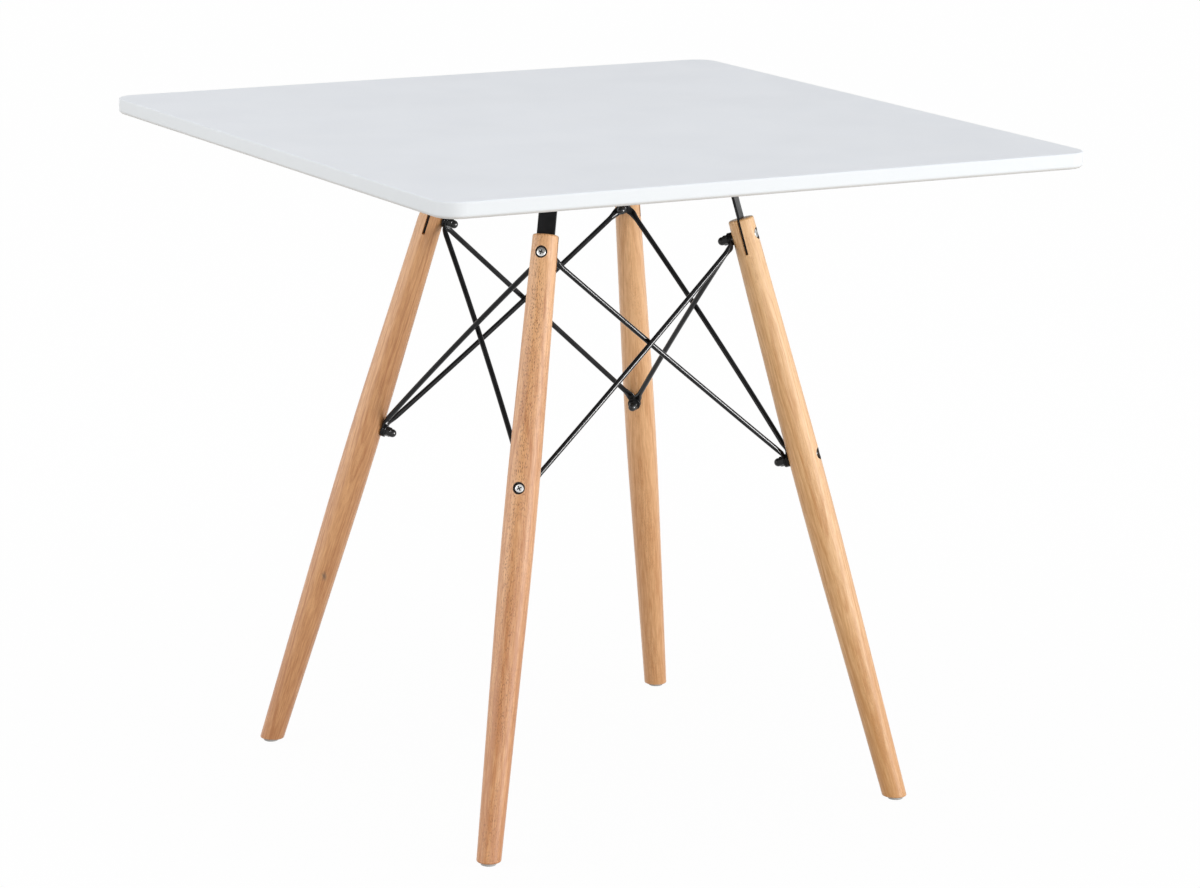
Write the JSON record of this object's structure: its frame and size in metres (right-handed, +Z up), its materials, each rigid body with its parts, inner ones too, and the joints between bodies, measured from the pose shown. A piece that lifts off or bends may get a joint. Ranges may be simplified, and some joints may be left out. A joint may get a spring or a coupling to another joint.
{
  "type": "square dining table with splayed legs",
  "caption": "Square white dining table on splayed round wooden legs, bolted to flat-steel brackets under the top and braced on each side by crossed black rods.",
  "frame": {"origin": "on the floor, under the middle of the top", "axes": "+Z up, +X along the front edge to the right, +Y from the front to the back"},
  "size_m": [0.8, 0.8, 0.75],
  "materials": {
    "lacquer_white": "satin white lacquer on fibreboard",
    "beech": "clear satin varnish on beech",
    "black_steel": "satin black powder coat",
    "black_rod": "glossy black paint",
    "black_nut": "black-finished steel",
    "zinc_steel": "bright zinc plating",
    "glide_nylon": "off-white nylon"
  },
  "bodies": {
    "root": {"table_top": "lacquer_white", "leg_front_left": "beech", "bracket_front_left": "black_steel", "bracket_screws_front_left": "zinc_steel", "bolt_upper_front_left": "zinc_steel", "bolt_lower_front_left": "zinc_steel", "cap_nut_upper_front_left": "black_nut", "cap_nut_lower_front_left": "black_nut", "glide_front_left": "glide_nylon", "glide_nail_front_left": "zinc_steel", "leg_front_right": "beech", "bracket_front_right": "black_steel", "bracket_screws_front_right": "zinc_steel", "bolt_upper_front_right": "zinc_steel", "bolt_lower_front_right": "zinc_steel", "cap_nut_upper_front_right": "black_nut", "cap_nut_lower_front_right": "black_nut", "glide_front_right": "glide_nylon", "glide_nail_front_right": "zinc_steel", "leg_back_right": "beech", "bracket_back_right": "black_steel", "bracket_screws_back_right": "zinc_steel", "bolt_upper_back_right": "zinc_steel", "bolt_lower_back_right": "zinc_steel", "cap_nut_upper_back_right": "black_nut", "cap_nut_lower_back_right": "black_nut", "glide_back_right": "glide_nylon", "glide_nail_back_right": "zinc_steel", "leg_back_left": "beech", "bracket_back_left": "black_steel", "bracket_screws_back_left": "zinc_steel", "bolt_upper_back_left": "zinc_steel", "bolt_lower_back_left": "zinc_steel", "cap_nut_upper_back_left": "black_nut", "cap_nut_lower_back_left": "black_nut", "glide_back_left": "glide_nylon", "glide_nail_back_left": "zinc_steel", "strut_front_outer": "black_rod", "strut_front_inner": "black_rod", "strut_right_outer": "black_rod", "strut_right_inner": "black_rod", "strut_back_outer": "black_rod", "strut_back_inner": "black_rod", "strut_left_outer": "black_rod", "strut_left_inner": "black_rod"}
  },
  "joints": []
}
